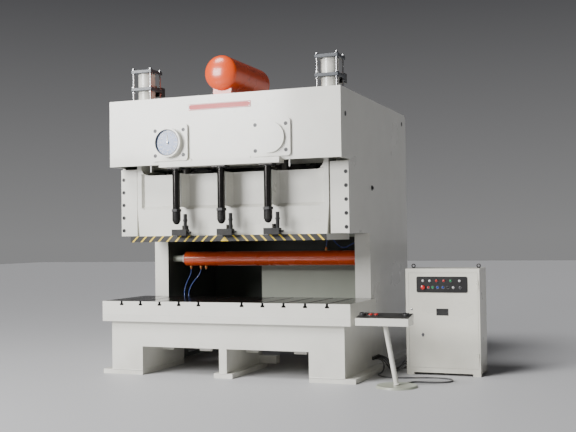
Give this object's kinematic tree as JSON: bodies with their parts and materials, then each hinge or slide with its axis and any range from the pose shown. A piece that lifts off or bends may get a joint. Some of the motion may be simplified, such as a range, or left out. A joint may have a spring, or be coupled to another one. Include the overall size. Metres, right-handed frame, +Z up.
{
  "type": "mechanical stamping press",
  "caption": "Open-front double-crank stamping press with wide slide, T-slotted bolster, air balancers, air tanks, control cabinet, push-button console and floor cables.",
  "frame": {"origin": "floor level at the centre of the four foundation bolt holes", "axes": "+Z up, +Y from the operator to the back of the press, +X to the operator's right"},
  "size_m": [4.497, 3.2379, 3.885],
  "materials": {
    "cream": "gloss enamel",
    "black": "satin",
    "orange_red": "gloss enamel",
    "ground_steel": "ground",
    "cast_iron": "machined",
    "bronze": "machined",
    "blue_dial": "printed face",
    "red_plastic": "moulded",
    "green_plastic": "moulded",
    "blue_plastic": "moulded",
    "black_plastic": "moulded",
    "rubber": "extruded",
    "cable_grey": "extruded",
    "blue_hose": "extruded",
    "red_paint": "enamel",
    "grey_green": "enamel",
    "hazard": "striped enamel",
    "chrome": "polished"
  },
  "bodies": {
    "frame": {"side_frame_left": "cream", "side_frame_right": "cream", "crown_frame": "cream", "bed_frame": "cream", "bolster_plate": "ground_steel", "back_guard": "cream", "throat_shield": "grey_green", "gib_left": "cream", "gib_right": "cream", "socket_screws": "black", "crank_bearings": "bronze", "dial_plate": "cream", "dial": "blue_dial", "bearing_cover": "cream", "knockout_beam": "cream", "stop_rods": "chrome", "nameplate": "red_paint", "balancer_left": "cream", "balancer_right": "cream", "top_air_tank": "orange_red", "throat_air_tank": "orange_red", "air_hoses": "blue_hose", "motor": "grey_green", "drive_belts": "rubber", "cabinet_body": "cream", "console_stand": "grey_green", "console_box": "cream", "power_cable_a": "cable_grey", "power_cable_b": "cable_grey", "power_cable_c": "cable_grey", "console_cable": "cable_grey"},
    "crank_left": {"crankshaft_left": "ground_steel", "crank_gear_left": "cast_iron", "dial_pointer": "cream"},
    "crank_right": {"crankshaft_right": "ground_steel", "crank_gear_right": "cast_iron"},
    "pinion": {"pinion_shaft": "ground_steel", "clutch": "cast_iron"},
    "idler": {"idler_gear": "cast_iron"},
    "flywheel": {"flywheel": "cast_iron"},
    "motor_rotor": {"motor_pulley": "cast_iron"},
    "rod_left": {"connecting_rod_left": "cast_iron"},
    "rod_right": {"connecting_rod_right": "cast_iron"},
    "slide": {"slide_body": "cream", "slide_flange": "hazard", "balancer_pistons": "chrome"},
    "bar_left": {"knockout_bar_left": "black"},
    "bar_centre": {"knockout_bar_centre": "black"},
    "bar_right": {"knockout_bar_right": "black"},
    "door": {"cabinet_door": "cream", "control_panel": "black"},
    "lock": {"door_lock": "black_plastic"},
    "panel_stop": {"panel_stop_button": "red_plastic"},
    "panel_start": {"panel_start_button": "green_plastic"},
    "panel_inch": {"panel_inch_button": "blue_plastic"},
    "selector": {"mode_selector": "black_plastic"},
    "run_left": {"run_button_left": "black_plastic"},
    "run_right": {"run_button_right": "black_plastic"},
    "stop": {"stop_button": "red_plastic"},
    "top_stop": {"top_stop_button": "red_plastic"}
  },
  "joints": [
    {"name": "crank_left_turn", "type": "hinge", "parent": "frame", "child": "crank_left", "pos_m": [-0.66, -1.094, 2.812], "axis": [0, 1, 0], "range_deg": [0, 180]},
    {"name": "crank_right_turn", "type": "hinge", "parent": "frame", "child": "crank_right", "pos_m": [0.66, -1.094, 2.812], "axis": [0, 1, 0], "range_deg": [-180, 0]},
    {"name": "pinion_turn", "type": "hinge", "parent": "frame", "child": "pinion", "pos_m": [-0.144, -0.644, 2.812], "axis": [0, 1, 0], "range_deg": [-594, 0]},
    {"name": "idler_turn", "type": "hinge", "parent": "frame", "child": "idler", "pos_m": [0.12, -0.644, 2.812], "axis": [0, 1, 0], "range_deg": [0, 495]},
    {"name": "flywheel_spin", "type": "hinge", "parent": "frame", "child": "flywheel", "pos_m": [-0.144, -0.279, 2.812], "axis": [0, 1, 0], "continuous": true},
    {"name": "motor_spin", "type": "hinge", "parent": "frame", "child": "motor_rotor", "pos_m": [-0.144, -0.279, 1.9], "axis": [0, 1, 0], "continuous": true},
    {"name": "rod_left_swing", "type": "hinge", "parent": "crank_left", "child": "rod_left", "pos_m": [-0.66, -1.079, 2.937], "axis": [0, 1, 0], "range_deg": [-180, 0]},
    {"name": "rod_right_swing", "type": "hinge", "parent": "crank_right", "child": "rod_right", "pos_m": [0.66, -1.079, 2.937], "axis": [0, 1, 0], "range_deg": [0, 180]},
    {"name": "slide_stroke", "type": "slide", "parent": "frame", "child": "slide", "axis": [0, 0, 1], "range_m": [-0.25, 0]},
    {"name": "bar_left_lift", "type": "slide", "parent": "slide", "child": "bar_left", "axis": [0, 0, 1], "range_m": [0, 0.05]},
    {"name": "bar_centre_lift", "type": "slide", "parent": "slide", "child": "bar_centre", "axis": [0, 0, 1], "range_m": [0, 0.05]},
    {"name": "bar_right_lift", "type": "slide", "parent": "slide", "child": "bar_right", "axis": [0, 0, 1], "range_m": [0, 0.05]},
    {"name": "door_swing", "type": "hinge", "parent": "frame", "child": "door", "pos_m": [2.843, -0.552, 0.65], "axis": [0, 0, 1], "range_deg": [0, 110]},
    {"name": "lock_turn", "type": "hinge", "parent": "door", "child": "lock", "pos_m": [2.186, -0.544, 0.476], "axis": [0, 1, 0], "range_deg": [0, 90]},
    {"name": "panel_stop_press", "type": "slide", "parent": "door", "child": "panel_stop", "axis": [0, 1, 0], "range_m": [0, 0.005], "stiffness_N_per_m": 400, "springref_m": -0.005},
    {"name": "panel_start_press", "type": "slide", "parent": "door", "child": "panel_start", "axis": [0, 1, 0], "range_m": [0, 0.005], "stiffness_N_per_m": 400, "springref_m": -0.005},
    {"name": "panel_inch_press", "type": "slide", "parent": "door", "child": "panel_inch", "axis": [0, 1, 0], "range_m": [0, 0.005], "stiffness_N_per_m": 400, "springref_m": -0.005},
    {"name": "selector_turn", "type": "hinge", "parent": "door", "child": "selector", "pos_m": [2.495, -0.554, 1.038], "axis": [0, 1, 0], "range_deg": [-45, 45]},
    {"name": "run_left_press", "type": "slide", "parent": "frame", "child": "run_left", "axis": [0, 0.1503, -0.9886], "range_m": [0, 0.006], "stiffness_N_per_m": 400, "springref_m": -0.006},
    {"name": "stop_press", "type": "slide", "parent": "frame", "child": "stop", "axis": [0, 0.1503, -0.9886], "range_m": [0, 0.006], "stiffness_N_per_m": 400, "springref_m": -0.006},
    {"name": "top_stop_press", "type": "slide", "parent": "frame", "child": "top_stop", "axis": [0, 0.1503, -0.9886], "range_m": [0, 0.006], "stiffness_N_per_m": 400, "springref_m": -0.006},
    {"name": "run_right_press", "type": "slide", "parent": "frame", "child": "run_right", "axis": [0, 0.1503, -0.9886], "range_m": [0, 0.006], "stiffness_N_per_m": 400, "springref_m": -0.006}
  ],
  "couplings": [
    {"joint": "crank_right_turn", "follows": "crank_left_turn", "ratio": -1},
    {"joint": "pinion_turn", "follows": "crank_left_turn", "ratio": -3.3},
    {"joint": "idler_turn", "follows": "crank_left_turn", "ratio": 2.75},
    {"joint": "rod_left_swing", "follows": "crank_left_turn", "ratio": -1},
    {"joint": "rod_right_swing", "follows": "crank_left_turn", "ratio": 1},
    {"joint": "slide_stroke", "follows": "crank_left_turn", "m_per_rad": -0.079577},
    {"joint": "motor_spin", "follows": "flywheel_spin", "ratio": 4.3636}
  ]
}
